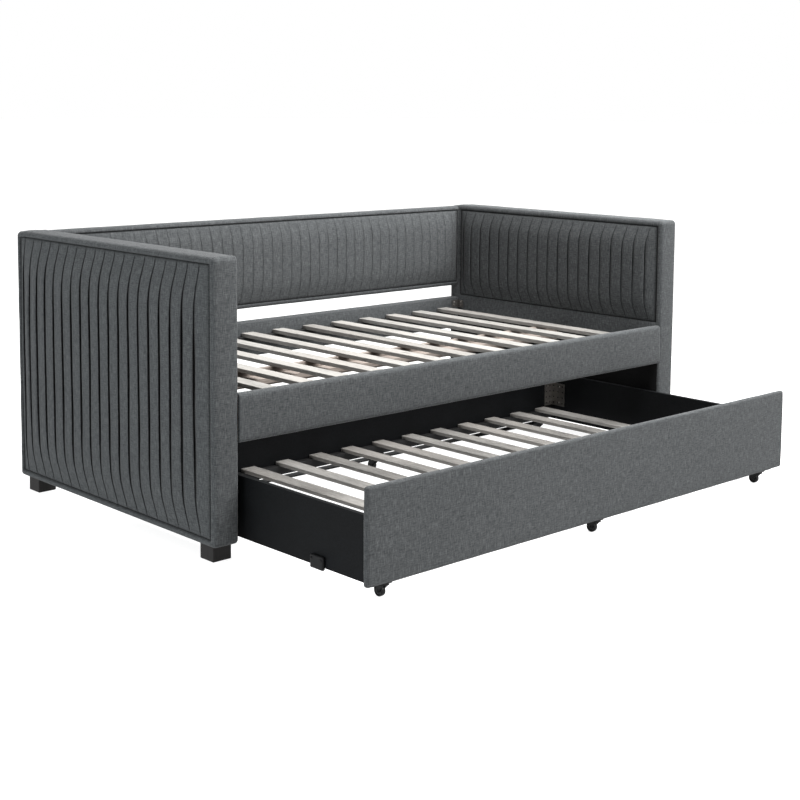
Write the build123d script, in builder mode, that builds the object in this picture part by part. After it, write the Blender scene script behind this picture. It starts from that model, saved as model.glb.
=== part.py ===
from build123d import *
import os

os.makedirs("parts", exist_ok=True)

# Daybed with a pull-out trundle, in millimetres, with the trundle drawn out.
# X runs along the bed, Y from front to back, Z up from the floor.

# Whole bed
bed_length = 2120
bed_depth = 1108
arm_height = 874
arm_thickness = 84
foot_height = 52
trundle_draw = 549

half_length = bed_length / 2
inner_half = half_length - arm_thickness
bed_back = (bed_depth + trundle_draw) / 2
bed_front = bed_back - bed_depth
panel_front = bed_front - trundle_draw

# Upholstery
foam = 10
pad_crown = 20
pad_round = 18
seam_inset = 17
casing_round = 6

# Arms
inner_pad_bottom = 497
lining_top = 420
lining_thickness = 2

# Feet and bolts
foot_side = 64
foot_inset_x = 12.5
foot_inset_y = 25
bolt_radius = 4
foot_bolt_length = 74
foot_bolt_bottom = 16
back_bolt_length = 70
back_bolt_depth = 22
bolt_head_radius = 7
bolt_head_height = 4

# Back panel
back_thickness = 41
back_top = 870
back_bottom = 538
back_seam = 14
back_side_seam = 6
back_front = bed_back - back_thickness

# Rails round the deck
rail_height = 142
front_rail_bottom = 342
rear_rail_bottom = 347
front_rail_thickness = 30
front_rail_proud = 6
front_rail_foam = 7
rail_round = 8
ledger_side = 26
front_rail_face = bed_front - front_rail_proud
front_rail_back = front_rail_face + front_rail_thickness

# Deck
slat_width = 55
slat_count = 13
slat_round = 2
deck_top = 446
deck_slat_thickness = 14
deck_pitch = 146.3
deck_end_gap = 4
deck_under = deck_top - deck_slat_thickness
ledger_half = inner_half - 40
centre_rail_y = bed_front + 509
centre_upright_thickness = 18
centre_upright_height = 60
centre_flange_width = 60
centre_flange_thickness = 18
centre_flange_drop = 22

# Trundle box
panel_gap = 8
panel_bottom = 53
panel_top = 320
panel_thickness = 18
panel_cover = 3
panel_round = 4
board_thickness = 16
board_inset = 14
board_bottom = 57
board_top = 239
trundle_depth = 1057
trundle_deck_top = 110
trundle_slat_thickness = 12
trundle_pitch = 144
trundle_end_gap = 2

panel_half = inner_half - panel_gap
panel_back = panel_front + panel_thickness
side_out = panel_half - board_inset
side_in = side_out - board_thickness
box_back = panel_front + trundle_depth
box_inner_back = box_back - board_thickness
trundle_under = trundle_deck_top - trundle_slat_thickness
trundle_ledger_half = side_in - 6

# Casters and the bars that carry them
bar_width = 32
bar_thickness = 5
bar_bottom = 44
spacer_length = 64
spacer_width = 16
caster_reach = 880
bar_top = bar_bottom + bar_thickness
spacer_top = 60
front_caster_y = panel_back + 1 + bar_width / 2
rear_caster_y = box_back - 5
spacer_front_y = panel_back + 2 + spacer_width / 2
spacer_rear_y = box_back - spacer_width / 2
wheel_radius = 17
wheel_width = 15
wheel_trail = 16
bore_clearance = 0.06
axle_radius = 2.5
axle_head_radius = 4
axle_head_height = 1.5
cheek_inner = 8.3
cheek_thickness = 2
cheek_radius = 6
crown_radius = 15
crown_bottom = 36
crown_top = 41
plate_length = 36
plate_thickness = 2.5
king_pin_radius = 3
king_head_radius = 5
king_head_height = 2.3
king_head_gap = 0.2

# Brackets and screws
bracket_leg = 36
bracket_height = 32
steel = 2
screw_radius = 2
deck_screw_length = 17
trundle_screw_length = 16
bar_screw_length = 32
bar_screw_offset = 26
screw_head_radius = 4
screw_head_height = 2.2
corner_leg_x = 43
corner_leg_y = 68
corner_height = 90

# Side bumpers
bumper_length = 68
bumper_bottom = 44
bumper_top = 97
bumper_thickness = 11
bumper_middle = panel_front + 215

sides = {"left": -1, "right": 1}
caster_rows = {"front": front_caster_y, "rear": rear_caster_y}
caster_columns = {"left": -caster_reach, "middle": 0, "right": caster_reach}


# Shared shapes

def slab(x_span, y_span, z_span, mode=Mode.ADD):
    # A square-edged block between two x, two y and two z values.
    x_low, x_high = sorted(x_span)
    y_low, y_high = sorted(y_span)
    z_low, z_high = sorted(z_span)
    with BuildSketch(Plane.XY.offset(z_low)) as footprint:
        with Locations(((x_low + x_high) / 2, (y_low + y_high) / 2)):
            Rectangle(x_high - x_low, y_high - y_low)
    extrude(footprint.sketch, amount=z_high - z_low, mode=mode)


def both(side, near, far):
    # The same x span on the left or the right of the bed.
    return (side * near, side * far)


def facing(x, y, z, direction):
    # A place on a face whose outward normal is the given direction.
    return Plane(origin=(x, y, z), z_dir=direction)


def pierce(places, radius, depth):
    # Drilled holes, each going in from the face that its place stands on.
    with Locations(*places):
        Cylinder(radius, depth, align=(Align.CENTER, Align.CENTER, Align.MAX), mode=Mode.SUBTRACT)


def sink(places, radius, height):
    # Room for the heads, standing out of the faces that the places are on.
    with Locations(*places):
        Cylinder(radius, height, align=(Align.CENTER, Align.CENTER, Align.MIN), mode=Mode.SUBTRACT)


def fasteners(places, radius, length, head_radius, head_height):
    # Round-headed screws or bolts, head out and shank in.
    with Locations(*places):
        Cylinder(radius, length, align=(Align.CENTER, Align.CENTER, Align.MAX))
        Cylinder(head_radius, head_height, align=(Align.CENTER, Align.CENTER, Align.MIN))


def finish(piece, name):
    piece.label = name
    export_step(piece, f"parts/{name}.step")


def bracket_screws(side, face_x, face_y, way, legs, levels):
    # Screw places on both legs of an angle bracket.
    leg_x, leg_y = legs
    spots = []
    for z in levels:
        spots.append(facing(face_x - side * steel, face_y + way * leg_y * 0.6, z, (-side, 0, 0)))
        spots.append(facing(face_x - side * leg_x * 0.6, face_y + way * steel, z, (0, way, 0)))
    return spots


def angle_bracket(side, face_x, face_y, way, legs, levels):
    # Two steel legs in the corner between a side face and a cross face.
    leg_x, leg_y = legs
    slab((face_x, face_x - side * steel), (face_y, face_y + way * leg_y), levels)
    slab((face_x - side * steel, face_x - side * leg_x), (face_y, face_y + way * steel), levels)


# Where things are fastened

foot_x = half_length - foot_inset_x - foot_side / 2
foot_y_front = bed_front + foot_inset_y + foot_side / 2
foot_y_back = bed_back - foot_inset_y - foot_side / 2
foot_spots = {
    "front_left": (-foot_x, foot_y_front),
    "front_right": (foot_x, foot_y_front),
    "back_left": (-foot_x, foot_y_back),
    "back_right": (foot_x, foot_y_back),
}
foot_bolts_at = [facing(x, y, foot_bolt_bottom, (0, 0, -1)) for x, y in foot_spots.values()]

back_core_front = back_front + foam
back_core_back = bed_back - foam
back_bolt_y = (back_core_front + back_core_back) / 2
back_bolt_seat = inner_half + foam + back_bolt_depth
back_bolts_at = [
    facing(side * back_bolt_seat, back_bolt_y, z, (side, 0, 0))
    for side in sides.values()
    for z in (back_bottom + 62, back_top - 62)
]

deck_legs = (bracket_leg, bracket_leg)
rail_bracket_bottom = deck_top - 6
centre_bracket_bottom = deck_under - 47
centre_front = centre_rail_y - centre_upright_thickness / 2
centre_back = centre_rail_y + centre_upright_thickness / 2
deck_corners = []
for side in sides.values():
    deck_corners.append((side, front_rail_back, 1, rail_bracket_bottom))
    deck_corners.append((side, back_front, -1, rail_bracket_bottom))
    deck_corners.append((side, centre_back, 1, centre_bracket_bottom))
deck_screws_at = []
for side, face_y, way, bottom in deck_corners:
    levels = (bottom + 9, bottom + bracket_height - 9)
    deck_screws_at += bracket_screws(side, side * inner_half, face_y, way, deck_legs, levels)

corner_legs = (corner_leg_x, corner_leg_y)
corner_bottom = trundle_deck_top + 2
corner_top = corner_bottom + corner_height
trundle_corners = []
for side in sides.values():
    trundle_corners.append((side, panel_back, 1))
    trundle_corners.append((side, box_inner_back, -1))
trundle_screws_at = []
for side, face_y, way in trundle_corners:
    levels = (corner_bottom + 14, corner_top - 14)
    trundle_screws_at += bracket_screws(side, side * side_in, face_y, way, corner_legs, levels)
for side in sides.values():
    for offset in (-20, 20):
        seat_x = side * (side_out + bumper_thickness)
        trundle_screws_at.append(facing(seat_x, bumper_middle + offset, 80, (side, 0, 0)))
spacer_rows = (spacer_front_y, spacer_rear_y)
bar_screws_at = [
    facing(x + offset, y, bar_bottom, (0, 0, -1))
    for y in spacer_rows
    for x in caster_columns.values()
    for offset in (-bar_screw_offset, bar_screw_offset)
]


# Arms: a board core in a padded casing, with pleated pads let into both faces

inner_pad_back = back_front - seam_inset + 2
for name, side in sides.items():
    core_x = both(side, inner_half + foam, half_length - foam)
    core_y = (bed_front + foam, bed_back - foam)
    core_z = (foot_height, arm_height - foam)
    outer_y = (bed_front + seam_inset, bed_back - seam_inset)
    outer_z = (foot_height + seam_inset, arm_height - seam_inset)
    inner_y = (bed_front + seam_inset, inner_pad_back)
    inner_z = (inner_pad_bottom, arm_height - seam_inset)

    with BuildPart() as core:
        slab(core_x, core_y, core_z)
        pierce(foot_bolts_at, bolt_radius, foot_bolt_length)
        pierce(back_bolts_at, bolt_radius, back_bolt_length)
        sink(back_bolts_at, bolt_head_radius, half_length - foam - back_bolt_seat)
        pierce(deck_screws_at, screw_radius, deck_screw_length)
    finish(core.part, f"{name}_arm_core")

    with BuildPart() as casing:
        slab(both(side, inner_half, half_length), (bed_front, bed_back), (foot_height, arm_height))
        upright_edges = casing.edges().filter_by(Axis.Z)
        top_edges = casing.faces().sort_by(Axis.Z)[-1].edges()
        fillet(upright_edges + top_edges, casing_round)
        slab(core_x, core_y, core_z, mode=Mode.SUBTRACT)
        slab(both(side, half_length - foam, half_length), outer_y, outer_z, mode=Mode.SUBTRACT)
        slab(both(side, inner_half, inner_half + foam), inner_y, inner_z, mode=Mode.SUBTRACT)
        slab(
            both(side, inner_half, inner_half + lining_thickness),
            (bed_front + casing_round, bed_back - casing_round),
            (foot_height, lining_top),
            mode=Mode.SUBTRACT,
        )
        pierce(back_bolts_at, bolt_radius, back_bolt_length)
        pierce(deck_screws_at, screw_radius, deck_screw_length)
    finish(casing.part, f"{name}_arm_casing")

    with BuildPart() as outer_pad:
        slab(both(side, half_length - foam, half_length + pad_crown), outer_y, outer_z)
        fillet(outer_pad.faces().sort_by(Axis.X)[-1 if side > 0 else 0].edges(), pad_round)
    finish(outer_pad.part, f"{name}_arm_outer_pad")

    with BuildPart() as inner_pad:
        slab(both(side, inner_half - pad_crown, inner_half + foam), inner_y, inner_z)
        fillet(inner_pad.faces().sort_by(Axis.X)[0 if side > 0 else -1].edges(), pad_round)
    finish(inner_pad.part, f"{name}_arm_inner_pad")

    with BuildPart() as lining:
        slab(
            both(side, inner_half, inner_half + lining_thickness),
            (bed_front + casing_round, bed_back - casing_round),
            (foot_height, lining_top),
        )
        pierce(deck_screws_at, screw_radius, deck_screw_length)
    finish(lining.part, f"{name}_arm_lining")


# Feet, with the bolts that hold them up into the arms

for name, (x, y) in foot_spots.items():
    with BuildPart() as foot:
        with BuildSketch():
            with Locations((x, y)):
                Rectangle(foot_side, foot_side)
        extrude(amount=foot_height)
        chamfer(foot.edges().filter_by(Axis.Z) + foot.faces().sort_by(Axis.Z)[0].edges(), 1.5)
        pierce(foot_bolts_at, bolt_radius, foot_bolt_length)
        sink(foot_bolts_at, bolt_head_radius, foot_bolt_bottom)
    finish(foot.part, f"{name}_foot")

with BuildPart() as foot_bolts:
    fasteners(foot_bolts_at, bolt_radius, foot_bolt_length, bolt_head_radius, bolt_head_height)
finish(foot_bolts.part, "foot_bolts")


# Back panel between the arms

back_core_x = (-inner_half + foam, inner_half - foam)
back_core_y = (back_core_front, back_core_back)
back_core_z = (back_bottom + foam, back_top - foam)
back_pad_x = (-inner_half + back_side_seam, inner_half - back_side_seam)
back_pad_z = (back_bottom + back_seam, back_top - back_seam)

with BuildPart() as back_core:
    slab(back_core_x, back_core_y, back_core_z)
    pierce(back_bolts_at, bolt_radius, back_bolt_length)
finish(back_core.part, "back_core")

with BuildPart() as back_casing:
    slab((-inner_half, inner_half), (back_front, bed_back), (back_bottom, back_top))
    fillet(back_casing.edges().filter_by(Axis.X), casing_round)
    slab(back_core_x, back_core_y, back_core_z, mode=Mode.SUBTRACT)
    slab(back_pad_x, (back_front, back_core_front), back_pad_z, mode=Mode.SUBTRACT)
    pierce(back_bolts_at, bolt_radius, back_bolt_length)
finish(back_casing.part, "back_casing")

with BuildPart() as back_pad:
    slab(back_pad_x, (back_front - pad_crown, back_core_front), back_pad_z)
    fillet(back_pad.faces().sort_by(Axis.Y)[0].edges(), pad_round)
finish(back_pad.part, "back_pad")

with BuildPart() as back_bolts:
    fasteners(back_bolts_at, bolt_radius, back_bolt_length, bolt_head_radius, bolt_head_height)
finish(back_bolts.part, "back_bolts")


# Front and rear rails: a board in a padded cover, with a ledger for the slats

rails = {
    "front": (front_rail_face, front_rail_back, front_rail_bottom, front_rail_foam, 1),
    "rear": (back_front, bed_back, rear_rail_bottom, foam, -1),
}
for name, (front_y, back_y, bottom, padding, way) in rails.items():
    top = bottom + rail_height
    board_y = (front_y + padding, back_y - padding)
    board_z = (bottom + padding, top - padding)

    with BuildPart() as rail_board:
        slab((-inner_half, inner_half), board_y, board_z)
        pierce(deck_screws_at, screw_radius, deck_screw_length)
    finish(rail_board.part, f"{name}_rail_board")

    with BuildPart() as rail_cover:
        slab((-inner_half, inner_half), (front_y, back_y), (bottom, top))
        fillet(rail_cover.edges().filter_by(Axis.X), rail_round if way > 0 else casing_round)
        slab((-inner_half, inner_half), board_y, board_z, mode=Mode.SUBTRACT)
        pierce(deck_screws_at, screw_radius, deck_screw_length)
    finish(rail_cover.part, f"{name}_rail_cover")

    ledger_y = back_y if way > 0 else front_y
    with BuildPart() as ledger:
        slab(
            (-ledger_half, ledger_half),
            (ledger_y, ledger_y + way * ledger_side),
            (deck_under - ledger_side, deck_under),
        )
        chamfer(ledger.edges().filter_by(Axis.X), 1)
    finish(ledger.part, f"{name}_ledger")


# Centre rail under the slats: an upright board with a flat board along its front

centre_half = inner_half - steel
with BuildPart() as centre_upright:
    slab(
        (-centre_half, centre_half),
        (centre_front, centre_back),
        (deck_under - centre_upright_height, deck_under),
    )
    pierce(deck_screws_at, screw_radius, deck_screw_length)
finish(centre_upright.part, "centre_rail_upright")

with BuildPart() as centre_flange:
    slab(
        (-ledger_half, ledger_half),
        (centre_front - centre_flange_width, centre_front),
        (deck_under - centre_flange_drop - centre_flange_thickness, deck_under - centre_flange_drop),
    )
    chamfer(centre_flange.edges().filter_by(Axis.X), 1)
finish(centre_flange.part, "centre_rail_flange")

with BuildPart() as deck_brackets:
    for side, face_y, way, bottom in deck_corners:
        angle_bracket(
            side, side * inner_half, face_y, way, deck_legs, (bottom, bottom + bracket_height)
        )
    pierce(deck_screws_at, screw_radius, deck_screw_length)
finish(deck_brackets.part, "deck_brackets")

with BuildPart() as deck_screws:
    fasteners(
        deck_screws_at, screw_radius, deck_screw_length, screw_head_radius, screw_head_height
    )
finish(deck_screws.part, "deck_screws")


# Slats of the deck and of the trundle

def slats(name, pitch, y_span, top, thickness):
    y_low, y_high = y_span
    with BuildPart() as row:
        with BuildSketch(Plane.XY.offset(top - thickness)):
            with Locations((0, (y_low + y_high) / 2)):
                with GridLocations(pitch, 0, slat_count, 1):
                    Rectangle(slat_width, y_high - y_low)
        extrude(amount=thickness)
        long_edges = row.edges().filter_by(Axis.Y).group_by(Axis.Z)[-1]
        fillet(long_edges, slat_round)
    finish(row.part, name)


deck_y = (front_rail_back + deck_end_gap, back_front - deck_end_gap)
trundle_y = (panel_back + trundle_end_gap, box_inner_back - trundle_end_gap)
slats("deck_slats", deck_pitch, deck_y, deck_top, deck_slat_thickness)
slats("trundle_slats", trundle_pitch, trundle_y, trundle_deck_top, trundle_slat_thickness)


# Trundle box

panel_board_y = (panel_front + panel_cover, panel_back - panel_cover)
panel_board_x = (-panel_half + panel_cover, panel_half - panel_cover)
panel_board_z = (panel_bottom + panel_cover, panel_top - panel_cover)

with BuildPart() as panel_board:
    slab(panel_board_x, panel_board_y, panel_board_z)
    pierce(trundle_screws_at, screw_radius, trundle_screw_length)
finish(panel_board.part, "trundle_panel_board")

with BuildPart() as panel_sleeve:
    slab((-panel_half, panel_half), (panel_front, panel_back), (panel_bottom, panel_top))
    fillet(panel_sleeve.edges(), panel_round)
    slab(panel_board_x, panel_board_y, panel_board_z, mode=Mode.SUBTRACT)
    pierce(trundle_screws_at, screw_radius, trundle_screw_length)
finish(panel_sleeve.part, "trundle_panel_cover")

for name, side in sides.items():
    with BuildPart() as side_board:
        slab(both(side, side_in, side_out), (panel_back, box_back), (board_bottom, board_top))
        pierce(trundle_screws_at, screw_radius, trundle_screw_length)
    finish(side_board.part, f"trundle_{name}_board")

with BuildPart() as back_board:
    slab((-side_in, side_in), (box_inner_back, box_back), (spacer_top, board_top))
    pierce(trundle_screws_at, screw_radius, trundle_screw_length)
    pierce(bar_screws_at, screw_radius, bar_screw_length)
finish(back_board.part, "trundle_back_board")

trundle_ledgers = {
    "front": (panel_back, 1, spacer_top),
    "rear": (box_inner_back, -1, trundle_under - ledger_side),
}
for name, (face_y, way, bottom) in trundle_ledgers.items():
    with BuildPart() as trundle_ledger:
        slab(
            (-trundle_ledger_half, trundle_ledger_half),
            (face_y, face_y + way * ledger_side),
            (bottom, trundle_under),
        )
        chamfer(trundle_ledger.edges().filter_by(Axis.X), 1)
        pierce(bar_screws_at, screw_radius, bar_screw_length)
    finish(trundle_ledger.part, f"trundle_{name}_ledger")

with BuildPart() as corner_plates:
    for side, face_y, way in trundle_corners:
        angle_bracket(
            side, side * side_in, face_y, way, corner_legs, (corner_bottom, corner_top)
        )
    pierce(trundle_screws_at, screw_radius, trundle_screw_length)
finish(corner_plates.part, "trundle_corner_plates")

with BuildPart() as side_bumpers:
    for side in sides.values():
        slab(
            both(side, side_out, side_out + bumper_thickness),
            (bumper_middle - bumper_length / 2, bumper_middle + bumper_length / 2),
            (bumper_bottom, bumper_top),
        )
    fillet(side_bumpers.edges().filter_by(Axis.X), 5)
    pierce(trundle_screws_at, screw_radius, trundle_screw_length)
finish(side_bumpers.part, "side_bumpers")

with BuildPart() as trundle_screws:
    fasteners(
        trundle_screws_at, screw_radius, trundle_screw_length, screw_head_radius, screw_head_height
    )
finish(trundle_screws.part, "trundle_screws")


# Caster bars on spacers under the box

for name, y in caster_rows.items():
    with BuildPart() as caster_bar:
        slab((-side_in, side_in), (y - bar_width / 2, y + bar_width / 2), (bar_bottom, bar_top))
        chamfer(caster_bar.edges().filter_by(Axis.Z), 3)
        pierce(bar_screws_at, screw_radius, bar_screw_length)
    finish(caster_bar.part, f"{name}_caster_bar")

with BuildPart() as bar_spacers:
    for y in spacer_rows:
        for x in caster_columns.values():
            slab(
                (x - spacer_length / 2, x + spacer_length / 2),
                (y - spacer_width / 2, y + spacer_width / 2),
                (bar_top, spacer_top),
            )
    pierce(bar_screws_at, screw_radius, bar_screw_length)
finish(bar_spacers.part, "caster_bar_spacers")

with BuildPart() as bar_screws:
    fasteners(bar_screws_at, screw_radius, bar_screw_length, screw_head_radius, screw_head_height)
finish(bar_screws.part, "caster_bar_screws")


# Swivel casters: plate and king pin on the bar, fork and axle under it, wheel on the axle

caster_spots = {
    f"{row}_{column}": (x, y)
    for row, y in caster_rows.items()
    for column, x in caster_columns.items()
}
plate_bottom = bar_bottom - plate_thickness
pin_bottom = crown_bottom - king_head_gap

with BuildPart() as caster_plates:
    for x, y in caster_spots.values():
        slab(
            (x - plate_length / 2, x + plate_length / 2),
            (y - bar_width / 2, y + bar_width / 2),
            (plate_bottom, bar_bottom),
        )
    chamfer(caster_plates.edges().filter_by(Axis.Z), 3)
    pierce([facing(x, y, bar_bottom, (0, 0, 1)) for x, y in caster_spots.values()],
           king_pin_radius, plate_thickness)
finish(caster_plates.part, "caster_plates")

with BuildPart() as king_pins:
    fasteners(
        [facing(x, y, pin_bottom, (0, 0, -1)) for x, y in caster_spots.values()],
        king_pin_radius,
        bar_bottom - pin_bottom,
        king_head_radius,
        king_head_height,
    )
finish(king_pins.part, "caster_king_pins")

for name, (x, y) in caster_spots.items():
    axle_y = y + wheel_trail
    cheek_outer = cheek_inner + cheek_thickness

    with BuildPart() as fork:
        with BuildSketch(Plane.XY.offset(crown_bottom)):
            with Locations((x, y)):
                Circle(crown_radius)
                Circle(king_pin_radius + bore_clearance, mode=Mode.SUBTRACT)
        extrude(amount=crown_top - crown_bottom)
        for direction in sides.values():
            inner_face = x + direction * cheek_inner
            with BuildSketch(Plane.YZ.offset(inner_face)):
                with BuildLine():
                    Polyline(
                        (y - 9, crown_top),
                        (y - 9, crown_bottom),
                        (axle_y - cheek_radius, wheel_radius),
                        (axle_y + cheek_radius, wheel_radius),
                        (y + 11, crown_top),
                        close=True,
                    )
                make_face()
                with Locations((axle_y, wheel_radius)):
                    Circle(cheek_radius)
            extrude(amount=direction * cheek_thickness)
        with BuildSketch(Plane.YZ.offset(x - cheek_outer)):
            with Locations((axle_y, wheel_radius)):
                Circle(axle_radius)
        extrude(amount=2 * cheek_outer, mode=Mode.SUBTRACT)

    with BuildPart() as axle:
        with BuildSketch(Plane.YZ.offset(x - cheek_outer)):
            with Locations((axle_y, wheel_radius)):
                Circle(axle_radius)
        extrude(amount=2 * cheek_outer)
        with BuildSketch(Plane.YZ.offset(x - cheek_outer), Plane.YZ.offset(x + cheek_outer)):
            with Locations((axle_y, wheel_radius)):
                Circle(axle_head_radius)
        extrude(amount=axle_head_height, both=True, mode=Mode.ADD)
        with BuildSketch(Plane.YZ.offset(x - cheek_outer)):
            with Locations((axle_y, wheel_radius)):
                Circle(axle_head_radius)
                Circle(axle_radius, mode=Mode.SUBTRACT)
        extrude(amount=2 * cheek_outer, mode=Mode.SUBTRACT)
    finish(Compound(children=[fork.part, axle.part]), f"{name}_caster_fork")

    with BuildPart() as wheel:
        with BuildSketch(Plane.YZ.offset(x - wheel_width / 2)):
            with Locations((axle_y, wheel_radius)):
                Circle(wheel_radius)
        extrude(amount=wheel_width)
        fillet(wheel.edges().filter_by(GeomType.CIRCLE), 4)
        with BuildSketch(Plane.YZ.offset(x - wheel_width / 2)):
            with Locations((axle_y, wheel_radius)):
                Circle(axle_radius + bore_clearance)
        extrude(amount=wheel_width, mode=Mode.SUBTRACT)
    finish(wheel.part, f"{name}_caster_wheel")

print("pieces written:", len(os.listdir("parts")))
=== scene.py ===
# Daybed with a pull-out trundle: fabric, pleats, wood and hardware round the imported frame
import math

import bpy
import numpy as np
from mathutils import Matrix, Vector, noise


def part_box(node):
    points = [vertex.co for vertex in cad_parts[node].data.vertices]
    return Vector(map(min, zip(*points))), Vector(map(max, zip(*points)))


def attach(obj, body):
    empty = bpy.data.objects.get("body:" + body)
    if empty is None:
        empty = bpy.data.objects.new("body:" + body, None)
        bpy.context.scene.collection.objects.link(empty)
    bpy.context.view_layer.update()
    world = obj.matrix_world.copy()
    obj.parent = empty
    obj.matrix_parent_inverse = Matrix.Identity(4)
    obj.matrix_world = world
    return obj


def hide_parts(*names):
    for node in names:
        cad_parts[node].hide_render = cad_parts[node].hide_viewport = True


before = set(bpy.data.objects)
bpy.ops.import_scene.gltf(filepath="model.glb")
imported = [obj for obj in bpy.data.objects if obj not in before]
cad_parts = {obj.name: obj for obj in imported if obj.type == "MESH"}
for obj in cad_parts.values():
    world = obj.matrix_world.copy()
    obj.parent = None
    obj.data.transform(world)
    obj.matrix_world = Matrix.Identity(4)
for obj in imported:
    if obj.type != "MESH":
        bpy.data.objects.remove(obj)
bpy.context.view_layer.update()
scene = bpy.context.scene
mm = 0.001
print("frame loaded:", len(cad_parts), "nodes")


# small helpers

def cadBox(node):
    low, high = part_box(node)
    return np.array(low), np.array(high)


def newPiece(name, points, faces, uvs=None, smooth=True):
    # uvs come one per face corner, in metres
    mesh = bpy.data.meshes.new(name)
    mesh.from_pydata(np.asarray(points, float).tolist(), [], faces)
    if uvs is not None:
        mesh.uv_layers.new(name="weave").data.foreach_set("uv", np.asarray(uvs, np.float32).ravel())
    mesh.polygons.foreach_set("use_smooth", [smooth] * len(mesh.polygons))
    piece = bpy.data.objects.new(name, mesh)
    scene.collection.objects.link(piece)
    return piece


def dress(piece, body, finish, *nodes):
    piece.data.materials.clear()
    piece.data.materials.append(finishes[finish])
    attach(piece, body)
    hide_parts(*nodes)


def bake(piece):
    # the evaluated shape as a plain mesh, with its modifiers gone
    current = bpy.context.evaluated_depsgraph_get()
    mesh = bpy.data.meshes.new_from_object(piece.evaluated_get(current), preserve_all_data_layers=True,
                                           depsgraph=current)
    piece.modifiers.clear()
    piece.data = mesh


def writeAttribute(piece, name, kind, values):
    # one value for each point
    field = "vector" if kind == "FLOAT_VECTOR" else "value"
    piece.data.attributes.new(name, kind, "POINT").data.foreach_set(field, np.ravel(values).astype(np.float32))


def circle(radius, count, shift=0.0):
    angles = [2 * math.pi * (i + shift) / count for i in range(count)]
    return [(radius * math.cos(a), radius * math.sin(a)) for a in angles]


def smoothStep(t):
    t = np.clip(t, 0, 1)
    return t * t * (3 - 2 * t)


def rgba(r, g, b):
    return (r, g, b, 1.0)


def ripple(p, scale, seed=0.0):
    return noise.noise(Vector((p[0] * scale + seed, p[1] * scale - seed, p[2] * scale + 0.7 * seed)))


# shader building: sums on sockets, and one way to add any node

class Wire:
    def __init__(self, paint, socket):
        self.paint = paint
        self.socket = socket

    def maths(self, kind, a, b):
        return self.paint.add("ShaderNodeMath", {"operation": kind}, {0: a, 1: b})

    def __add__(self, other): return self.maths("ADD", self, other)
    def __radd__(self, other): return self.maths("ADD", other, self)
    def __sub__(self, other): return self.maths("SUBTRACT", self, other)
    def __rsub__(self, other): return self.maths("SUBTRACT", other, self)
    def __mul__(self, other): return self.maths("MULTIPLY", self, other)
    def __rmul__(self, other): return self.maths("MULTIPLY", other, self)


class Paint:
    def __init__(self, name):
        self.material = bpy.data.materials.new(name)
        self.material.use_nodes = True
        self.tree = self.material.node_tree
        self.tree.nodes.clear()

    def add(self, kind, settings=None, inputs=None, output=0):
        node = self.tree.nodes.new(kind)
        for key, value in (settings or {}).items():
            if key == "stops":
                while len(node.color_ramp.elements) < len(value):
                    node.color_ramp.elements.new(0.5)
                for stop, (place, colour) in zip(node.color_ramp.elements, value):
                    stop.position = place
                    stop.color = (*colour, 1) if len(colour) == 3 else colour
            else:
                setattr(node, key, value)
        for key, value in (inputs or {}).items():
            if isinstance(value, Wire):
                self.tree.links.new(value.socket, node.inputs[key])
            else:
                node.inputs[key].default_value = value
        return Wire(self, node.outputs[output]) if node.outputs else node

    def objectPlace(self):
        return self.add("ShaderNodeTexCoord", output="Object")

    def uvPlace(self):
        return self.add("ShaderNodeUVMap", {"uv_map": "weave"})

    def stretched(self, place, scale, shift=(0, 0, 0)):
        return self.add("ShaderNodeMapping", {}, {"Vector": place, "Scale": scale, "Location": shift})

    def cloud(self, place, scale, detail=2.0, rough=0.5, warp=0.0):
        return self.add("ShaderNodeTexNoise", {"noise_dimensions": "3D"},
                        {"Vector": place, "Scale": scale, "Detail": detail, "Roughness": rough, "Distortion": warp})

    def ramp(self, value, stops):
        return self.add("ShaderNodeValToRGB", {"stops": stops}, {"Fac": value})

    def between(self, value, low, high):
        # 0 below low, 1 above high
        return self.add("ShaderNodeMapRange", {"interpolation_type": "SMOOTHSTEP"},
                        {"Value": value, "From Min": low, "From Max": high})

    def mix(self, share, a, b):
        # inputs 0, 6, 7 and output 2 are the colour ones
        return self.add("ShaderNodeMix", {"data_type": "RGBA"}, {0: share, 6: a, 7: b}, output=2)

    def sine(self, value):
        return self.add("ShaderNodeMath", {"operation": "SINE"}, {0: value})

    def attribute(self, name):
        return self.add("ShaderNodeAttribute", {"attribute_name": name}, output="Fac")

    def bump(self, height, distance, strength=1.0, under=None):
        inputs = {"Height": height, "Distance": distance, "Strength": strength}
        if under is not None:
            inputs["Normal"] = under
        return self.add("ShaderNodeBump", {}, inputs)

    def surface(self, inputs):
        shader = self.add("ShaderNodeBsdfPrincipled", {}, inputs)
        self.add("ShaderNodeOutputMaterial", {}, {"Surface": shader})
        return self.material


# finishes

linen = {
    "thread": 1.3 * mm,         # from one thread to the next
    "slubWidth": 400,           # slubs per metre across
    "slubLength": 48,           # and along
    "thickWidth": 260, "thickLength": 30,
    "dark": (0.0150, 0.0163, 0.0172),
    "middle": (0.0335, 0.0358, 0.0372),
    "light": (0.072, 0.0750, 0.0765),
    # colour of the painted shade in the folds and seams
    "shaded": (0.0015, 0.0016, 0.0017),
    "paleShare": 0.55, "deepShare": 0.50,
}


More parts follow.
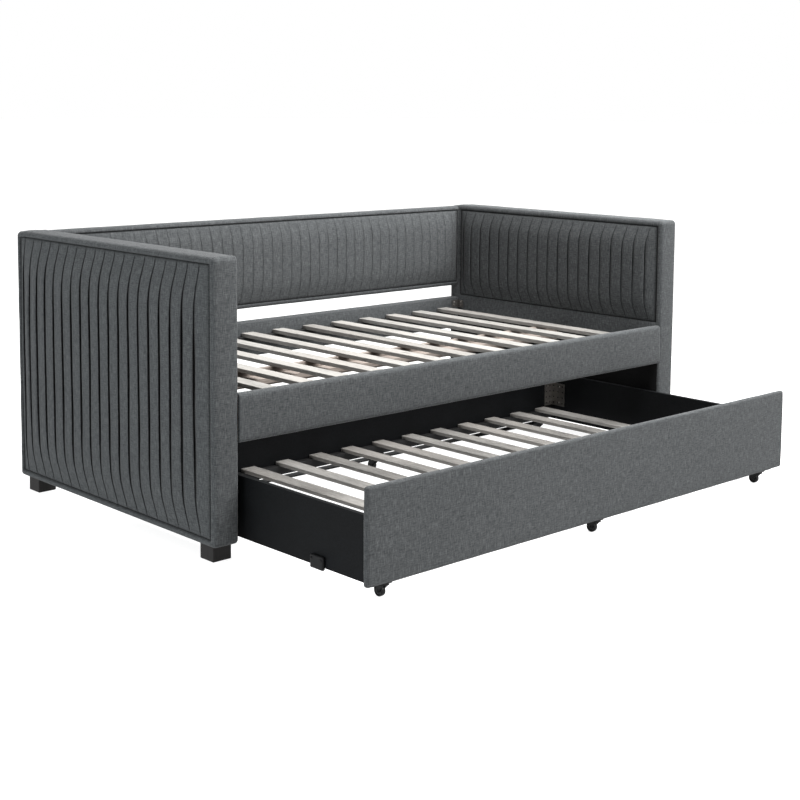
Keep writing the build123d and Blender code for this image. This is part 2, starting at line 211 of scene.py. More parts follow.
def linenCloth(name, shade):
    paint = Paint(name)
    place = paint.uvPlace()
    across, along = linen["slubWidth"], linen["slubLength"]
    upSlub = paint.cloud(paint.stretched(place, (across, along, 1)), 1.0, 3.0, 0.62)
    acrossSlub = paint.cloud(paint.stretched(place, (along, across, 1), (7.3, 2.1, 4)), 1.0, 3.0, 0.62)
    mottle = paint.cloud(paint.stretched(place, (70, 55, 1), (3.7, 9.2, 8)), 1.0, 4.0, 0.6)
    drift = paint.cloud(place, 4.0, 2.0, 0.5)
    tone = upSlub * 0.47 + acrossSlub * 0.43 + mottle * 0.05 + drift * 0.05
    dark, middle, light = ([c * shade for c in linen[k]] for k in ("dark", "middle", "light"))
    colour = paint.ramp(tone, [(0.33, dark), (0.49, middle), (0.68, light)])
    # a few thick threads stand out pale, a few dark
    thick = linen["thickWidth"], linen["thickLength"]
    pale = paint.cloud(paint.stretched(place, (thick[0], thick[1], 1), (1.9, 5.5, 12)), 1.0, 2.0, 0.5)
    deep = paint.cloud(paint.stretched(place, (thick[1], thick[0], 1), (8.1, 0.7, 16)), 1.0, 2.0, 0.5)
    colour = paint.mix(paint.between(pale, 0.55, 0.72) * linen["paleShare"], colour, rgba(*light))
    colour = paint.mix(paint.between(deep, 0.55, 0.74) * linen["deepShare"], colour, rgba(*dark))
    # painted shade inside the folds and down in the seams
    colour = paint.mix(paint.attribute("inFold") * 0.92, colour, rgba(*linen["shaded"]))
    # plain weave: the two threads pass over each other in turn
    split = paint.add("ShaderNodeSeparateXYZ", {}, {0: place})
    u = split
    v = Wire(paint, split.socket.node.outputs[1])
    turn = 2 * math.pi / linen["thread"]
    knit = paint.sine(u * turn) * paint.sine(v * turn) * 0.5 + 0.5
    normal = paint.bump(knit, 0.25 * mm, 0.5)
    normal = paint.bump(upSlub + acrossSlub, 0.6 * mm, 0.5, normal)
    return paint.surface({"Base Color": colour, "Roughness": 0.86 + mottle * 0.12, "Normal": normal,
                          "Sheen Weight": 0.06, "Sheen Roughness": 0.4, "Specular IOR Level": 0.12})


def barePine(name, low, high, grainAxis, attribute=None):
    # planed softwood: long grain, faint rings, a few knots
    paint = Paint(name)
    place = paint.objectPlace()
    if attribute:
        # each plank has its own stretch of the grain
        own = paint.attribute(attribute)
        moved = paint.add("ShaderNodeCombineXYZ", {}, {0: own * 3.1, 1: own * 7.7, 2: own * 5.3})
        place = paint.add("ShaderNodeVectorMath", {"operation": "ADD"}, {0: place, 1: moved})

    def grain(across, along):
        return paint.stretched(place, (across, along, across) if grainAxis == "Y" else (along, across, across))

    bands = paint.sine(paint.cloud(grain(9, 1.0), 6.0, 3.0, 0.55, 0.6) * 46.0)
    fibre = paint.cloud(grain(420, 7), 1.0, 3.0, 0.6)
    patches = paint.cloud(grain(14, 4), 1.0, 2.0, 0.5)
    tone = bands * 0.10 + fibre * 0.42 + patches * 0.36 + 0.12
    if attribute:
        tone = tone + (own - 0.5) * 0.30
    colour = paint.mix(paint.between(tone, 0.22, 0.82), rgba(*low), rgba(*high))
    tint = paint.cloud(paint.stretched(place, (5, 2, 5)), 1.0, 1.0, 0.5)
    colour = paint.mix(paint.between(tint, 0.4, 0.7) * 0.3, colour,
                       rgba(high[0] * 0.95, high[1] * 0.89, high[2] * 0.86))
    knots = paint.add("ShaderNodeTexVoronoi", {"feature": "F1"}, {"Vector": grain(8, 2.2), "Scale": 1.0})
    colour = paint.mix((1 - paint.between(knots, 0.02, 0.09)) * 0.7, colour,
                       rgba(low[0] * 0.45, low[1] * 0.38, low[2] * 0.33))
    normal = paint.bump(fibre * 0.6 + bands * 0.15, 0.5 * mm, 0.5)
    return paint.surface({"Base Color": colour, "Roughness": 0.62 + fibre * 0.18, "Normal": normal,
                          "Specular IOR Level": 0.35})


def blackStain(name, colour, rough, grain, bumpSize=0.3 * mm, gloss=0.13):
    # painted or wrapped board: fine tooth, rubbed patches
    paint = Paint(name)
    place = paint.objectPlace()
    tooth = paint.cloud(paint.stretched(place, grain), 1.0, 4.0, 0.6)
    rubbed = paint.cloud(place, 9.0, 3.0, 0.6)
    share = paint.between(tooth * 0.6 + rubbed * 0.4, 0.35, 0.72)
    shade = paint.mix(share, rgba(*(c * 0.75 for c in colour)), rgba(*(c * 1.55 for c in colour)))
    normal = paint.bump(tooth, bumpSize, 0.6)
    return paint.surface({"Base Color": shade, "Roughness": rough - 0.08 + rubbed * 0.2, "Normal": normal,
                          "Specular IOR Level": gloss})


def zincPlate(name, colour):
    # dull plating with a faint spangle
    paint = Paint(name)
    place = paint.objectPlace()
    cells = paint.add("ShaderNodeTexVoronoi", {"feature": "F1"}, {"Vector": place, "Scale": 90.0})
    smear = paint.cloud(place, 60.0, 3.0, 0.6)
    dull = paint.between(smear, 0.4, 0.75)
    shade = paint.mix(dull * 0.55, rgba(*colour), rgba(*(c * 0.62 for c in colour)))
    normal = paint.bump(smear + cells * 0.4, 0.08 * mm, 0.6)
    return paint.surface({"Base Color": shade, "Roughness": 0.30 + dull * 0.22, "Normal": normal,
                          "Metallic": 0.9})


def hardBlack(name, colour, rough, coat=0.0):
    # moulded plastic or painted steel
    paint = Paint(name)
    place = paint.objectPlace()
    orange = paint.cloud(place, 700.0, 2.0, 0.5)
    scuff = paint.cloud(place, 45.0, 4.0, 0.7)
    worn = paint.between(scuff, 0.55, 0.8)
    shade = paint.mix(worn * 0.6, rgba(*colour), rgba(*(c * 2.2 + 0.003 for c in colour)))
    normal = paint.bump(orange, 0.06 * mm, 0.5)
    return paint.surface({"Base Color": shade, "Roughness": rough + worn * 0.18, "Normal": normal,
                          "Specular IOR Level": 0.12, "Coat Weight": coat, "Coat Roughness": 0.2})


finishes = {
    "upholstery": linenCloth("darkLinen", 1.0),
    "pleated_upholstery": linenCloth("pleatedLinen", 0.97),
    "frame_board": barePine("coreBoard", (0.33, 0.24, 0.15), (0.55, 0.43, 0.28), "X"),
    "slat_wood": barePine("greySlatWood", (0.100, 0.096, 0.089), (0.222, 0.215, 0.202), "Y", "slatShade"),
    "centre_wood": barePine("centreRailWood", (0.085, 0.068, 0.058), (0.19, 0.162, 0.142), "X"),
    "black_wood": blackStain("blackStrip", (0.007, 0.007, 0.0072), 0.62, (9, 260, 260)),
    "black_board": blackStain("blackBoard", (0.0030, 0.0033, 0.0037), 0.6, (180, 180, 180), 0.2 * mm, 0.05),
    "black_lining": blackStain("blackLining", (0.0035, 0.0035, 0.0036), 0.85, (900, 900, 900), 0.4 * mm, 0.04),
    "foot_wood": blackStain("footStain", (0.0080, 0.0072, 0.0072), 0.5, (240, 240, 12)),
    "zinc_steel": zincPlate("zincSteel", (0.19, 0.18, 0.168)),
    "black_steel": hardBlack("blackSteel", (0.0032, 0.0032, 0.0035), 0.45),
    "black_plastic": hardBlack("bumperPlastic", (0.0030, 0.0030, 0.0033), 0.5),
    "caster_plastic": hardBlack("wheelPlastic", (0.0026, 0.0026, 0.0029), 0.3, 0.05),
}
print("finishes made:", len(finishes))


# soft rounded blocks, for everything that is foam under fabric

def edgeLines(low, high, radius, seams=(), step=0.034):
    # grid lines along one axis: close together in the rounding and beside seams
    offsets = [radius * (1 - math.tan(math.radians(a))) for a in (45, 34, 22.5, 11, 0)]
    lines = [low + o for o in offsets] + [high - o for o in offsets]
    for seam in seams:
        lines += [seam + o * mm for o in (-4.5, -2.6, -1.2, 0, 1.2, 2.6, 4.5)]
    lines = sorted(set(round(v, 5) for v in lines))
    filled = [lines[0]]
    for value in lines[1:]:
        gap = value - filled[-1]
        parts = max(1, round(gap / step))
        start = filled[-1]
        filled += [start + gap * i / parts for i in range(1, parts + 1)]
    clean = [filled[0]]
    for value in filled[1:]:
        if value - clean[-1] > 0.0004:
            clean.append(value)
    clean[-1] = filled[-1]
    return clean


def softBlock(name, lines, radius, shape, flat=(), shade=None):
    # a closed lattice shell, rounded towards its inner box, then moved point by point by shape(point, outward)
    # flat names axes whose two ends stay square, where the piece meets a neighbour; shade gives the painted shade at
    # its seams
    low = np.array([a[0] for a in lines])
    high = np.array([a[-1] for a in lines])
    count = [len(a) for a in lines]
    index, points, faces, uvs = {}, [], [], []

    def corner(i, j, k):
        key = (i, j, k)
        if key not in index:
            index[key] = len(points)
            points.append((lines[0][i], lines[1][j], lines[2][k]))
        return index[key]

    for axis in range(3):
        a, b = [n for n in range(3) if n != axis]
        for end in (0, count[axis] - 1):
            for i in range(count[a] - 1):
                for j in range(count[b] - 1):
                    quad, spots = [], []
                    for di, dj in ((0, 0), (1, 0), (1, 1), (0, 1)):
                        at = [0, 0, 0]
                        at[axis], at[a], at[b] = end, i + di, j + dj
                        quad.append(corner(*at))
                        spots.append((lines[a][i + di], lines[b][j + dj]))
                    outward = (end > 0) == (axis != 1)
                    if not outward:
                        quad.reverse()
                        spots.reverse()
                    faces.append(quad)
                    uvs += spots
    points = np.array(points)
    inLow, inHigh = low + radius, high - radius
    for n in flat:
        inLow[n], inHigh[n] = low[n], high[n]
    inner = np.clip(points, inLow, inHigh)
    away = points - inner
    size = np.linalg.norm(away, axis=1)
    outward = away / np.maximum(size, 1e-9)[:, None]
    rounded = inner + outward * radius
    for n in flat:
        ends = (points[:, n] <= low[n] + 1e-9) | (points[:, n] >= high[n] - 1e-9)
        middle = ends & (size < radius * 0.999)
        rounded[middle] = points[middle]
    moved = np.array([p + shape(p, q) for p, q in zip(rounded, outward)])
    piece = newPiece(name, moved, faces, uvs)
    # painted shade, one value for each point
    if shade:
        writeAttribute(piece, "inFold", "FLOAT", [shade(p, q) for p, q in zip(rounded, outward)])
    return piece


# arms

bodyDepth = cadBox("left_arm_casing")
armFront, armBack = bodyDepth[0][1], bodyDepth[1][1]
armBottom, armTop = bodyDepth[0][2], bodyDepth[1][2]
armOut = -bodyDepth[0][0]
armIn = -bodyDepth[1][0]

casing = {
    "round": 9.5 * mm,
    "proud": 4.0 * mm,          # how far the stuffing swells past the board's padding
    "seamDip": 5.0 * mm,        # how far the cloth is pulled in where a pad is sewn in
    "seamWidth": 2.4 * mm,
    # painted shade along the seams where the pads are sewn in
    "seamShade": 0.95, "shadeWidth": 2.3 * mm,
    "puff": 2.2 * mm,           # swell of the front and top bands
    "creaseDip": 0.9 * mm,      # folded fabric at the ends of the top band
    "droop": 5.0 * mm, "droopReach": 42 * mm,    # the top falls off towards the back corner
    "liningDip": 2.5 * mm,      # room behind the lining
    "broadUneven": 0.7 * mm, "fineUneven": 0.35 * mm,
}


def rectDistance(p, q, low, high):
    # above 0 outside the rectangle, below 0 inside
    dx = max(low[0] - p, p - high[0])
    dy = max(low[1] - q, q - high[1])
    if dx > 0 and dy > 0:
        return math.hypot(dx, dy)
    return max(dx, dy)


def armCasing(name, side):
    outer = cadBox(f"{name}_arm_outer_pad")
    inner = cadBox(f"{name}_arm_inner_pad")
    lining = cadBox(f"{name}_arm_lining")
    near, far = sorted((side * armIn, side * armOut))
    lines = [
        edgeLines(near, far, casing["round"], step=0.02),
        edgeLines(armFront, armBack, casing["round"], (outer[0][1], outer[1][1], inner[1][1])),
        edgeLines(armBottom, armTop, casing["round"], (outer[0][2], outer[1][2], inner[0][2], lining[1][2])),
    ]

    def sewn(p, out, width):
        # 1 at the outer pad's seam and under it, -1 at the inner pad's, falling to 0 over the width
        for pad, plane, way in ((outer, armOut, 1), (inner, armIn, -1)):
            if abs(abs(p[0]) - plane) < 0.5 * mm and out[0] * side * way > 0.9:
                d = rectDistance(p[1], p[2], pad[0][1:], pad[1][1:])
                return way * math.exp(-(max(d, 0.0) / width) ** 2)
        return 0.0

    def shape(p, out):
        x, y, z = p
        move = np.zeros(3)
        move[0] -= side * casing["seamDip"] * sewn(p, out, casing["seamWidth"])
        if out[0] * side < -0.9 and z < lining[1][2] and lining[0][1] < y < lining[1][1]:
            move[0] += side * casing["liningDip"]
        across = abs(abs(x) - (armIn + armOut) / 2) / ((armOut - armIn) / 2)
        swell = casing["puff"] * (1 - across ** 2)
        if out[1] < -0.7 or out[1] > 0.7:
            move[1] += math.copysign(swell * smoothStep((z - armBottom) / 0.04), out[1])
        if out[2] > 0.7:
            end = min(y - armFront, armBack - y)
            crease = math.exp(-((end - 0.012 - 0.05 * (1 - across)) / 0.006) ** 2)
            move[2] += swell - casing["creaseDip"] * crease
        if z > armTop - 0.03:
            move[2] -= casing["droop"] * smoothStep(1 - (armBack - y) / casing["droopReach"])
        free = np.array([max(0.0, out[0] * side), out[1], out[2]])
        if abs(out[0]) > 0.9:
            free *= smoothStep(rectDistance(y, z, outer[0][1:], outer[1][1:]) / 0.006)
        move += free * np.sign(np.array([side, 1, 1])) * casing["proud"]
        if z > armBottom + 0.02:
            uneven = casing["broadUneven"] * ripple(p, 14, 3.0 * side) + casing["fineUneven"] * ripple(p, 45, side)
            move += np.array(out) * uneven
        return move

    # the casing gets painted shade beside its pad seams
    piece = softBlock(f"{name}ArmCasing", lines, casing["round"], shape,
                      shade=lambda p, out: casing["seamShade"] * abs(sewn(p, out, casing["shadeWidth"])))
    dress(piece, "daybed", "upholstery", f"{name}_arm_casing")


for armName, armSide in (("left", -1), ("right", 1)):
    armCasing(armName, armSide)
print("arm casings made")


# pleated pads: a crown from a cloth simulation, then knife pleats laid over it

pressing = {
    "step": 22 * mm,        # cloth grid
    "pressure": 4.0, "stiffness": 12, "bending": 2.0, "mass": 0.4,
    "frames": 20,
    "reach": 34 * mm,       # how soon the crown levels off, in from the seam
    "behind": 30 * mm,      # depth of the cushion under pressure
}


def pressedCrown(width, height, sideHaste, fullness):
    # how far a sewn-in panel swells, 0 at its seam and 1 in the middle, on a grid
    nu = max(8, round(width / pressing["step"]))
    nv = max(8, round(height / pressing["step"]))
    us, vs = np.linspace(0, width, nu + 1), np.linspace(0, height, nv + 1)
    gridU, gridV = np.meshgrid(us, vs)
    edge = np.minimum(np.minimum(gridU, width - gridU) * sideHaste, np.minimum(gridV, height - gridV))
    count = (nu + 1) * (nv + 1)
    front = np.stack([gridU.ravel(), np.zeros(count), gridV.ravel()], 1)
    back = front + np.array([0, pressing["behind"], 0])
    faces = []
    for j in range(nv):
        for i in range(nu):
            a = j * (nu + 1) + i
            quad = [a, a + 1, a + nu + 2, a + nu + 1]
            faces += [quad, [count + n for n in reversed(quad)]]
    loop = list(range(nu)) + [nu + j * (nu + 1) for j in range(nv)]
    loop += [nv * (nu + 1) + i for i in range(nu, 0, -1)] + [j * (nu + 1) for j in range(nv, 0, -1)]
    for a, b in zip(loop, loop[1:] + loop[:1]):
        faces.append([b, a, count + a, count + b])
    panel = newPiece("panelUnderPressure", np.vstack([front, back]), faces)
    held = panel.vertex_groups.new(name="held")
    held.add(loop + list(range(count, 2 * count)), 1.0, "REPLACE")
    cloth = panel.modifiers.new("cloth", "CLOTH")
    cloth.settings.vertex_group_mass = "held"
    cloth.settings.use_pressure = True
    cloth.settings.uniform_pressure_force = pressing["pressure"]
    cloth.settings.tension_stiffness = pressing["stiffness"]
    cloth.settings.compression_stiffness = pressing["stiffness"]
    cloth.settings.bending_stiffness = pressing["bending"]
    cloth.settings.mass = pressing["mass"]
    cloth.settings.effector_weights.gravity = 0
    cloth.point_cache.frame_end = pressing["frames"]
    for number in range(1, pressing["frames"] + 1):
        scene.frame_set(number)
    shaped = panel.evaluated_get(bpy.context.evaluated_depsgraph_get())
    found = np.zeros(len(shaped.data.vertices) * 3)
    shaped.data.vertices.foreach_get("co", found)
    lift = -found.reshape(-1, 3)[:count, 1].reshape(nv + 1, nu + 1)
    bpy.data.objects.remove(panel)
    scene.frame_set(1)
    print("   panel swelled by", round(float(lift.max()), 4), "m")
    # the foam stops it: the swell levels off
    lift = np.maximum(lift, 0)
    level = np.tanh(lift / max(1e-6, float(np.median(lift))) * fullness) / math.tanh(fullness)
    return us, vs, np.clip(level, 0, 1.12) * (1 - np.exp(-edge / (0.8 * pressing["reach"])))


def sampleGrid(us, vs, values, u, v):
    iu = np.clip(np.searchsorted(us, u) - 1, 0, len(us) - 2)
    iv = np.clip(np.searchsorted(vs, v) - 1, 0, len(vs) - 2)
    fu = np.clip((u - us[iu]) / (us[iu + 1] - us[iu]), 0, 1)
    fv = np.clip((v - vs[iv]) / (vs[iv + 1] - vs[iv]), 0, 1)
    fu, fv = smoothStep(fu) * 0.35 + fu * 0.65, smoothStep(fv) * 0.35 + fv * 0.65
    low = values[iv, iu] * (1 - fu) + values[iv, iu + 1] * fu
    high = values[iv + 1, iu] * (1 - fu) + values[iv + 1, iu + 1] * fu
    return low * (1 - fv) + high * fv


# across one fold, in millimetres: along the cloth, and out of it
foldFront = [(-20.0, 0.9), (-13.0, -0.5), (-8.5, -2.9), (-5.0, -6.2), (0.0, -8.8), (7.0, -9.6)]  # runs in under
foldOver = [(7.4, -8.4), (2.4, -5.2), (-1.0, -2.4), (-2.5, -0.4), (-2.6, 1.1), (-1.7, 2.5), (0.4, 3.3),
            (6.0, 3.6), (17.0, 3.0)]

sewing = {
    "dipWidth": 3.2 * mm,       # how far in from the seam the pad is pulled down
    "tug": 0.7 * mm,            # uneven filling
    "rimDepth": 8.5 * mm,       # how deep the pad's closed rim stands in the casing
    "foldShadeDepth": 5.5 * mm,       # depth at which the painted shade inside a fold is full
    # strength and widths of the painted shade along the pad's four seams
    "shade": 0.95, "sideShadeWidth": 7.5 * mm, "endShadeWidth": 2.5 * mm,
}


def pleatColumns(width, folds):
    # (place, height, fold number) of every column of points, from one side seam to the other
    columns = [(o * mm, 0.0, 0) for o in (0, 1.2, 3.0, 6.0, 11.0, 18.0)]
    for k, line in enumerate(folds):
        last = columns[-1][0]
        for share in (0.34, 0.67):
            gap = line - 20.0 * mm - last
            if gap > 6 * mm:
                columns.append((last + gap * share, 0.9 * (1 - share) if k else 0.0, k))
        columns += [(line + a * mm, h, k) for a, h in foldFront]
        columns += [(line + a * mm, h, k) for a, h in foldOver if line + a * mm < width - 5.0 * mm]
    last = columns[-1][0]
    ends = [width - o * mm for o in (11.0, 6.0, 3.0, 1.2, 0)]
    ends = [e for e in ends if e > last + 1.0 * mm]
    if ends[0] - last > 20 * mm:
        columns.append((last + (ends[0] - last) * 0.5, 1.0, len(folds)))
    columns += [(e, 0.0, len(folds)) for e in ends]
    return columns


def pleatedPad(name, node, axis, plane, pleat, crownGrid):
    # axis is the one the pad faces along; plane is the casing face that it stands out of
    low, high = cadBox(node)
    along = 1 - axis                            # the arms' pads run along Y, the back's along X
    width, height = high[along] - low[along], high[2] - low[2]
    out = -1 if low[axis] < plane - 12 * mm else 1
    us, vs, crown = crownGrid
    us, vs = us * width / us[-1], vs * height / vs[-1]
    columns = pleatColumns(width, pleat["folds"])
    near = [o * mm for o in (0, 0.8, 2.0, 4.0, 7.0, 11.0, 17.0, 25.0, 36.0, 50.0, 66.0, 84.0)]
    middle = np.linspace(near[-1], height - near[-1], max(3, round((height - 2 * near[-1]) / pleat["row"])))
    rows = np.array(near + list(middle[1:-1]) + [height - o for o in reversed(near)])
    place = np.array([c[0] for c in columns])
    lift = np.array([c[1] for c in columns]) * mm
    fold = np.array([c[2] for c in columns])
    a = np.repeat(place[None, :], len(rows), 0)
    b = np.repeat(rows[:, None], len(place), 1)
    # folds lean over near the top and bottom seams
    lean = pleat["leanTop"] * smoothStep((rows - (height - pleat["leanReach"])) / pleat["leanReach"]) ** 1.5
    lean += pleat["leanBottom"] * smoothStep((pleat["bottomReach"] - rows) / pleat["bottomReach"]) ** 1.5
    free = smoothStep(place / 0.055) * smoothStep((width - place) / 0.016)

    def cloudy(us, vs, scaleU, scaleV, shift=0.0, seed=pleat["seed"]):
        return np.array([[noise.noise(Vector((u * scaleU + shift, v * scaleV, seed))) for u in us] for v in vs])

    waver = cloudy(fold, rows, 5.3, 4.0)
    gape = cloudy(fold, rows, 3.1, 6.0, 40)
    a = a - lean[:, None] * free[None, :] + waver * pleat["waver"] * free[None, :]
    ends = np.minimum(rows, height - rows)
    strength = pleat["seamShare"] + (1 - pleat["seamShare"]) * smoothStep(ends / pleat["openReach"])
    deep = pleat["depth"] * strength[:, None] * (1 + 0.55 * gape)
    sideFade = smoothStep(np.minimum(place, width - place) / 0.010)
    edge = np.minimum(np.minimum(a, width - a), np.minimum(b, height - b))
    h = pleat["crown"] * sampleGrid(us, vs, crown, a, b)
    h = h + lift[None, :] * deep * sideFade[None, :]
    h = h - casing["seamDip"] * np.exp(-np.maximum(edge, 0) / sewing["dipWidth"])
    h = h + sewing["tug"] * cloudy(place, rows, 9, 5, 0.0, 7 + pleat["seed"]) * smoothStep(edge / 0.03)
    h = np.minimum(h, pleat["limit"])
    # painted shade inside the folds, along their lines, and at the seams
    inFold = np.clip(-lift[None, :] * deep * sideFade[None, :] / sewing["foldShadeDepth"], 0, 1) ** 0.8
    inFold = inFold * smoothStep(strength[:, None] * 1.6)
    line = np.clip((-lift[None, :] - 3.4 * mm) / (2.6 * mm), 0, 1) * sideFade[None, :]
    inFold = np.maximum(inFold, pleat["lineShade"] * (line * smoothStep((edge - 3 * mm) / (8 * mm))))
    sideSeam = np.exp(-(np.maximum(np.minimum(a, width - a), 0) / sewing["sideShadeWidth"]) ** 2)
    endSeam = np.exp(-(np.maximum(np.minimum(b, height - b), 0) / sewing["endShadeWidth"]) ** 2)
    inFold = np.maximum(inFold, sewing["shade"] * np.maximum(sideSeam, endSeam))
    # closed behind: a rim that turns in, then the flat back
    cols = len(place)
    points = np.zeros((len(rows), cols, 3))
    points[..., along] = low[along] + a
    points[..., 2] = low[2] + b
    points[..., axis] = plane + out * h
    step = np.hypot(np.diff(a[len(rows) // 2]), np.diff(h[len(rows) // 2]))
    run = np.concatenate([[0], np.cumsum(step)])
    flip = (out > 0) == (axis == 0)
    faces, uvs = [], []
    for j in range(len(rows) - 1):
        for i in range(cols - 1):
            quad = [(j, i), (j, i + 1), (j + 1, i + 1), (j + 1, i)]
            if not flip:
                quad.reverse()
            faces.append([r * cols + c for r, c in quad])
            uvs += [(run[c], rows[r]) for r, c in quad]
    flatPoints = points.reshape(-1, 3)
    loop = [(0, i) for i in range(cols)] + [(j, cols - 1) for j in range(1, len(rows))]
    loop += [(len(rows) - 1, i) for i in range(cols - 2, -1, -1)] + [(j, 0) for j in range(len(rows) - 2, 0, -1)]
    behind = np.array([points[j, i] for j, i in loop])
    behind[:, axis] = plane - out * sewing["rimDepth"]
    start = len(flatPoints)
    for n, (j, i) in enumerate(loop):
        m = (n + 1) % len(loop)
        quad = [j * cols + i, start + n, start + m, loop[m][0] * cols + loop[m][1]]
        if not flip:
            quad.reverse()
        faces.append(quad)
        uvs += [(run[i], rows[j])] * 4
    closing = [start + n for n in range(len(loop))]
    if flip:
        closing.reverse()
    faces.append(closing)
    uvs += [(0, 0)] * len(closing)
    piece = newPiece(name, np.vstack([flatPoints, behind]), faces, uvs)
    # painted shade for each point; the rim turned in behind is painted dark as well
    writeAttribute(piece, "inFold", "FLOAT", np.concatenate([inFold.ravel(), np.full(len(loop), 0.9)]))
    dress(piece, "daybed", "pleated_upholstery", node)


# lineShade sets the strength of the painted shade along each fold's line
outerPleats = {
    "folds": [0.070 + 0.0550 * k for k in range(19)],
    "depth": 1.0, "crown": 17.0 * mm, "limit": 20.5 * mm, "row": 20 * mm,
    "leanTop": 15 * mm, "leanBottom": 14 * mm, "leanReach": 0.15, "bottomReach": 0.13,
    "openReach": 0.27, "seamShare": 0.10, "lineShade": 0.9, "waver": 2.2 * mm, "seed": 1.7,
}
innerPleats = {
    "folds": [0.051 + 0.0536 * k for k in range(19)],
    "depth": 0.50, "crown": 18.5 * mm, "limit": 20.5 * mm, "row": 18 * mm,
    "leanTop": 12 * mm, "leanBottom": 12 * mm, "leanReach": 0.10, "bottomReach": 0.09,
    "openReach": 0.13, "seamShare": 0.10, "lineShade": 0.62, "waver": 1.6 * mm, "seed": 8.2,
}
backPleats = {
    "folds": [0.018 + 0.0460 * k for k in range(42)],
    "depth": 0.10, "crown": 16.0 * mm, "limit": 20.5 * mm, "row": 20 * mm,
    "leanTop": 6 * mm, "leanBottom": 6 * mm, "leanReach": 0.10, "bottomReach": 0.10,
    "openReach": 0.07, "seamShare": 0.5, "lineShade": 0.03, "waver": 2.4 * mm, "seed": 4.4,
}


def padCrown(node, along, sideHaste, fullness=1.6):
    # sideHaste above 1 brings the crown up sooner at the two side seams, fullness at all four
    low, high = cadBox(node)
    return pressedCrown(high[along] - low[along], high[2] - low[2], sideHaste, fullness)


outerCrown = padCrown("left_arm_outer_pad", 1, 1.0, 1.1)
innerCrown = padCrown("left_arm_inner_pad", 1, 1.5)
backCrown = padCrown("back_pad", 0, 1.8)
for armName, armSide in (("left", -1), ("right", 1)):
    pleatedPad(f"{armName}OuterPad", f"{armName}_arm_outer_pad", 0, armSide * armOut, outerPleats, outerCrown)
    pleatedPad(f"{armName}InnerPad", f"{armName}_arm_inner_pad", 0, armSide * armIn, innerPleats, innerCrown)
    print("pads made on the", armName, "arm")


# back panel

backLow, backHigh = cadBox("back_casing")
backPad = cadBox("back_pad")
backCasing = {"round": 9 * mm, "top": 3.0 * mm, "rear": 2.0 * mm, "uneven": 0.8 * mm}


def backSewn(p, out, width):
    if out[1] > -0.9:
        return 0.0
    d = rectDistance(p[0], p[2], backPad[0][[0, 2]], backPad[1][[0, 2]])
    return math.exp(-(max(d, 0.0) / width) ** 2)


def backShape(p, out):
    move = np.zeros(3)
    move[1] += casing["seamDip"] * backSewn(p, out, casing["seamWidth"])
    if abs(out[2]) > 0.3:
        move[2] += out[2] * backCasing["top"]
    if out[1] > 0.3:
        move[1] += out[1] * backCasing["rear"]
    return move + np.array(out) * backCasing["uneven"] * ripple(p, 12, 5.0)


# the back casing gets painted shade along its seam with the pad
backPiece = softBlock("backCasing", [
    edgeLines(backLow[0], backHigh[0], backCasing["round"], (backPad[0][0], backPad[1][0])),
    edgeLines(backLow[1], backHigh[1], backCasing["round"], step=0.02),
    edgeLines(backLow[2], backHigh[2], backCasing["round"], (backPad[0][2], backPad[1][2])),
], backCasing["round"], backShape, (0,), lambda p, out: casing["seamShade"] * backSewn(p, out, casing["shadeWidth"]))
dress(backPiece, "daybed", "upholstery", "back_casing")
pleatedPad("backPad", "back_pad", 1, backLow[1], backPleats, backCrown)
print("back panel made")


# rails and the trundle's front panel

railCover = {"round": 11.5 * mm, "puff": 1.4 * mm, "proud": (0, 0.5 * mm, 1.0 * mm)}
rearCover = {"round": 10 * mm, "puff": 1.4 * mm, "proud": (0, 0.5 * mm, -4.5 * mm)}
panelCover = {"round": 7 * mm, "puff": 0.9 * mm, "proud": (2.5 * mm, 0.5 * mm, 1.5 * mm)}


def coveredBoard(name, node, body, sizes, flat=()):
    low, high = cadBox(node)
    middle = (low + high) / 2

    def shape(p, out):
        lift = 0.0
        if abs(out[1]) > 0.7:
            t = (p[2] - middle[2]) / (high[2] - low[2]) * 2
            lift = sizes["puff"] * (1 - t * t)
        uneven = 0.5 * mm * ripple(p, 11, 2.0) + 0.3 * mm * ripple(p, 38, 9.0)
        return np.array(out) * (lift + uneven + np.array(sizes["proud"]))

    lines = [edgeLines(low[n], high[n], sizes["round"], step=0.05 if n == 0 else 0.03) for n in range(3)]
    piece = softBlock(name, lines, sizes["round"], shape, flat)
    dress(piece, body, "upholstery", node)


coveredBoard("frontRailCover", "front_rail_cover", "daybed", railCover, flat=(0,))
coveredBoard("rearRailCover", "rear_rail_cover", "daybed", rearCover, flat=(0,))
coveredBoard("trundlePanelCover", "trundle_panel_cover", "trundle", panelCover)
print("rails and trundle panel covered")


# eased boards: planks with broken edges

def easedBoard(node, body, finish, ease):
    (x0, y0, z0), (x1, y1, z1) = cadBox(node)
    points = [(x, y, z) for x in (x0, x1) for y in (y0, y1) for z in (z0, z1)]
    faces = [(0, 1, 3, 2), (4, 6, 7, 5), (0, 4, 5, 1), (2, 3, 7, 6), (0, 2, 6, 4), (1, 5, 7, 3)]
    first, *rest = node.split("_")
    piece = newPiece(first + "".join(word.title() for word in rest), points, faces, smooth=False)
    bevel = piece.modifiers.new("ease", "BEVEL")
    bevel.width = ease
    bevel.segments = 3
    bake(piece)
    piece.data.polygons.foreach_set("use_smooth", [False] * len(piece.data.polygons))
    dress(piece, body, finish, node)


boards = [
    ("trundle", "black_board", 1.2 * mm, ["trundle_left_board", "trundle_right_board", "trundle_back_board"]),
    ("trundle", "black_wood", 1.5 * mm, ["trundle_front_ledger", "trundle_rear_ledger"]),
    ("daybed", "black_wood", 1.5 * mm, ["front_ledger", "rear_ledger"]),
    ("daybed", "centre_wood", 1.2 * mm, ["centre_rail_upright", "centre_rail_flange"]),
]
for body, finish, ease, nodes in boards:
    for node in nodes:
        easedBoard(node, body, finish, ease)
print("boards and ledgers made")


# node trees for what repeats

